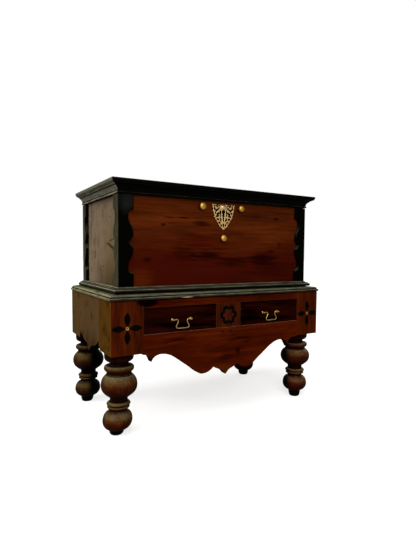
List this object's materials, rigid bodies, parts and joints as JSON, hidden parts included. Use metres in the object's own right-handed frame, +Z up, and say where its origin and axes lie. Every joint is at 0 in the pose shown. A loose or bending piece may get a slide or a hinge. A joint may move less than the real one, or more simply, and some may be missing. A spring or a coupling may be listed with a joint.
{
  "type": "mule chest",
  "caption": "Wooden mule chest: hinged-lid coffer on a low stand with drawers, scalloped corner mounts, pierced lock plate, swan-neck pulls and turned legs.",
  "frame": {"origin": "on the floor, below the centre of the whole chest's box", "axes": "+Z up; the front with the lock and drawers faces -Y; +X to the right of a viewer at the front"},
  "size_m": [1.208, 0.696, 1.1287],
  "materials": {
    "red_wood": "polished jackwood with a deep red-brown horizontal grain and dark figure",
    "weathered_wood": "worn, olive-brown wood with an upright grain",
    "ebony": "ebony with a dull wax sheen",
    "moulding_wood": "dark moulded wood, dusty olive on its upper faces",
    "stand_wood": "red-orange brown wood, waxed",
    "drawer_wood": "very dark rosewood",
    "turned_wood": "turned dark brown wood with black feet",
    "inside_wood": "plain unpolished secondary wood",
    "brass": "cast brass, worn bright on its high points",
    "iron": "dark wrought iron"
  },
  "bodies": {
    "chest": {"coffer_front_board": "red_wood", "coffer_left_board": "weathered_wood", "coffer_right_board": "weathered_wood", "side_panel_left": "weathered_wood", "side_panel_right": "weathered_wood", "corner_mount_front_left": "ebony", "corner_mount_front_right": "ebony", "corner_mount_back_left": "ebony", "corner_mount_back_right": "ebony", "petal_inlay_left": "ebony", "petal_inlay_right": "ebony", "rosette_inlay": "ebony", "coffer_base_moulding": "moulding_wood", "stand_moulding_front": "moulding_wood", "stand_moulding_left": "moulding_wood", "stand_moulding_right": "moulding_wood", "corner_post_front_left": "stand_wood", "corner_post_front_right": "stand_wood", "corner_post_back_left": "stand_wood", "corner_post_back_right": "stand_wood", "top_rail": "stand_wood", "centre_muntin": "stand_wood", "front_apron": "stand_wood", "leg_front_left": "turned_wood", "leg_front_right": "turned_wood", "leg_back_left": "turned_wood", "leg_back_right": "turned_wood", "coffer_back_board": "inside_wood", "coffer_bottom_board": "inside_wood", "stand_back_panel": "inside_wood", "drawer_runner_left": "inside_wood", "drawer_runner_right": "inside_wood", "drawer_runner_centre": "inside_wood", "lock_plate": "brass", "lock_stud_left": "brass", "lock_stud_right": "brass", "lock_stud_lower": "brass", "lock_case": "iron", "hinge_fixed_leaf_left": "iron", "hinge_fixed_leaf_right": "iron"},
    "lid": {"lid_board": "ebony", "lid_moulding_front": "ebony", "lid_moulding_left": "moulding_wood", "lid_moulding_right": "moulding_wood", "lid_back_rail": "inside_wood", "lid_staple": "iron", "hinge_lid_leaf_left": "iron", "hinge_lid_leaf_right": "iron"},
    "left_drawer": {"drawer_front_left": "drawer_wood", "drawer_carcass_left": "inside_wood", "drawer_bottom_left": "inside_wood", "handle_post_left_left": "brass", "handle_post_left_right": "brass"},
    "right_drawer": {"drawer_front_right": "drawer_wood", "drawer_carcass_right": "inside_wood", "drawer_bottom_right": "inside_wood", "handle_post_right_left": "brass", "handle_post_right_right": "brass"},
    "left_bail": {"bail_left": "brass"},
    "right_bail": {"bail_right": "brass"}
  },
  "joints": [
    {"name": "lid_hinge", "type": "hinge", "parent": "chest", "child": "lid", "pos_m": [0, 0.3048, 1.0682], "axis": [-1, 0, 0], "range_deg": [0, 100]},
    {"name": "left_drawer_slide", "type": "slide", "parent": "chest", "child": "left_drawer", "axis": [0, -1, 0], "range_m": [0, 0.38]},
    {"name": "right_drawer_slide", "type": "slide", "parent": "chest", "child": "right_drawer", "axis": [0, -1, 0], "range_m": [0, 0.38]},
    {"name": "left_bail_swing", "type": "hinge", "parent": "left_drawer", "child": "left_bail", "pos_m": [-0.258, -0.342, 0.511], "axis": [-1, 0, 0], "range_deg": [0, 85]},
    {"name": "right_bail_swing", "type": "hinge", "parent": "right_drawer", "child": "right_bail", "pos_m": [0.258, -0.342, 0.511], "axis": [-1, 0, 0], "range_deg": [0, 85]}
  ]
}
